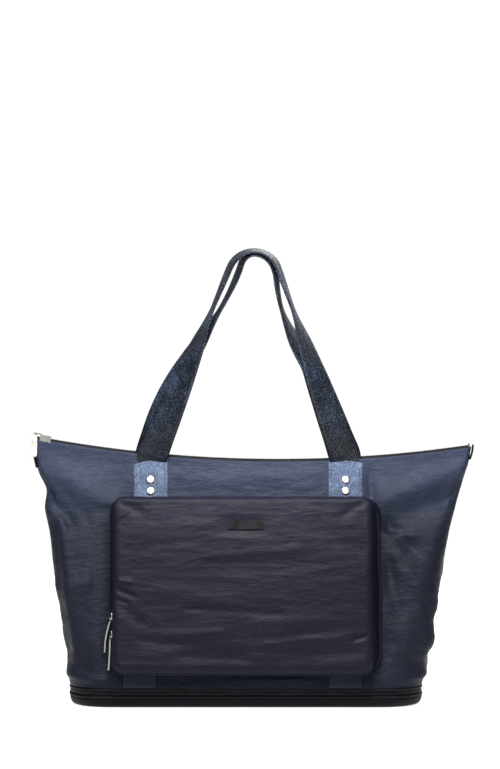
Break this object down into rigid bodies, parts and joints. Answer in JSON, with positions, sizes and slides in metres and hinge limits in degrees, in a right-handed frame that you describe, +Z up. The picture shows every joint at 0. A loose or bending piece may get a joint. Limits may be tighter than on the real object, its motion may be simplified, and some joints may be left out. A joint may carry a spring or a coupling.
{
  "type": "foldable tote bag",
  "caption": "Foldable fabric tote bag with a sagging zipped top, two webbing handles, a zipped front pocket that opens downward and a base that zips open to expand",
  "frame": {"origin": "centre of the base's underside, on the surface the bag stands on", "axes": "+X to the right seen from the front, the pocket's front faces -Y, +Z up"},
  "size_m": [0.5162, 0.1934, 0.527],
  "materials": {
    "body_nylon": "matte",
    "pocket_nylon": "matte",
    "lining_cloth": "matte",
    "piping_cloth": "matte",
    "zip_tape": "matte",
    "zip_coil": "satin",
    "webbing": "satin",
    "nickel": "satin",
    "badge_metal": "satin"
  },
  "bodies": {
    "base": {"base_panel": "body_nylon", "lining_base": "lining_cloth", "lower_piping": "piping_cloth", "expansion_tape_lower": "zip_tape", "expansion_coil_lower": "zip_coil", "expansion_gusset": "body_nylon"},
    "upper": {"upper_piping": "piping_cloth", "expansion_tape_upper": "zip_tape", "expansion_coil_upper": "zip_coil", "front_panel": "body_nylon", "back_panel": "body_nylon", "lining": "lining_cloth", "top_zip_tape_front": "zip_tape", "top_zip_tape_back": "zip_tape", "top_zip_coil": "zip_coil", "top_zip_stops": "nickel", "zip_end_tab_left": "body_nylon", "zip_end_tab_right": "body_nylon", "strap_front_left": "webbing", "strap_front_right": "webbing", "strap_back_left": "webbing", "strap_back_right": "webbing", "rivets_front": "nickel", "rivets_back": "nickel", "rivet_washers_front": "nickel", "rivet_washers_back": "nickel", "pocket_gusset": "pocket_nylon", "pocket_zip_tape_rear": "zip_tape", "pocket_coil_rear": "zip_coil"},
    "pocket_door": {"pocket_front": "pocket_nylon", "pocket_zip_tape_front": "zip_tape", "pocket_coil_front": "zip_coil", "badge_plate": "badge_metal", "badge_washer": "nickel"},
    "expansion_zip_slider": {"expansion_slider": "nickel"},
    "expansion_zip_puller": {"expansion_puller": "nickel"},
    "top_zip_slider": {"top_slider": "nickel"},
    "top_zip_puller": {"top_puller": "nickel"},
    "pocket_zip_slider_upper": {"pocket_slider_upper": "nickel"},
    "pocket_zip_puller_upper": {"pocket_puller_upper": "nickel"},
    "pocket_zip_slider_lower": {"pocket_slider_lower": "nickel"},
    "pocket_zip_puller_lower": {"pocket_puller_lower": "nickel"},
    "front_handle": {"handle_front": "webbing"},
    "back_handle": {"handle_back": "webbing"}
  },
  "joints": [
    {"name": "base_expansion", "type": "slide", "parent": "base", "child": "upper", "axis": [0, 0, 1], "range_m": [0, 0.075]},
    {"name": "expansion_zip_travel", "type": "slide", "parent": "base", "child": "expansion_zip_slider", "axis": [-1, 0, 0], "range_m": [0, 0.26]},
    {"name": "expansion_puller_swing", "type": "hinge", "parent": "expansion_zip_slider", "child": "expansion_zip_puller", "pos_m": [0.1374, 0.0852, 0.01655], "axis": [0, 0, 1], "range_deg": [0, 120]},
    {"name": "top_zip_travel", "type": "hinge", "parent": "upper", "child": "top_zip_slider", "pos_m": [0.038, 0, 1.7965], "axis": [0, -1, 0], "range_deg": [0, 18.45]},
    {"name": "top_puller_swing", "type": "hinge", "parent": "top_zip_slider", "child": "top_zip_puller", "pos_m": [-0.247, -0.009, 0.31118], "axis": [-1, 0, 0], "range_deg": [0, 110]},
    {"name": "front_handle_swing", "type": "hinge", "parent": "upper", "child": "front_handle", "pos_m": [0, -0.00645, 0.2845], "axis": [1, 0, 0], "range_deg": [0, 120]},
    {"name": "back_handle_swing", "type": "hinge", "parent": "upper", "child": "back_handle", "pos_m": [0, 0.00645, 0.2845], "axis": [-1, 0, 0], "range_deg": [0, 120]},
    {"name": "pocket_door_fold", "type": "hinge", "parent": "upper", "child": "pocket_door", "pos_m": [0, -0.09557, 0.03237], "axis": [1, 0, 0], "range_deg": [0, 100]},
    {"name": "pocket_zip_travel_upper", "type": "slide", "parent": "upper", "child": "pocket_zip_slider_upper", "axis": [0, 0.2869, 0.958], "range_m": [0, 0.115]},
    {"name": "pocket_zip_travel_lower", "type": "slide", "parent": "upper", "child": "pocket_zip_slider_lower", "axis": [0, 0.2869, 0.958], "range_m": [-0.03, 0.004]},
    {"name": "pocket_puller_swing_upper", "type": "hinge", "parent": "pocket_zip_slider_upper", "child": "pocket_zip_puller_upper", "pos_m": [-0.1573, -0.07525, 0.10021], "axis": [0, 1, 0], "range_deg": [0, 100]},
    {"name": "pocket_puller_swing_lower", "type": "hinge", "parent": "pocket_zip_slider_lower", "child": "pocket_zip_puller_lower", "pos_m": [-0.1573, -0.08124, 0.08021], "axis": [0, 1, 0], "range_deg": [0, 100]}
  ]
}
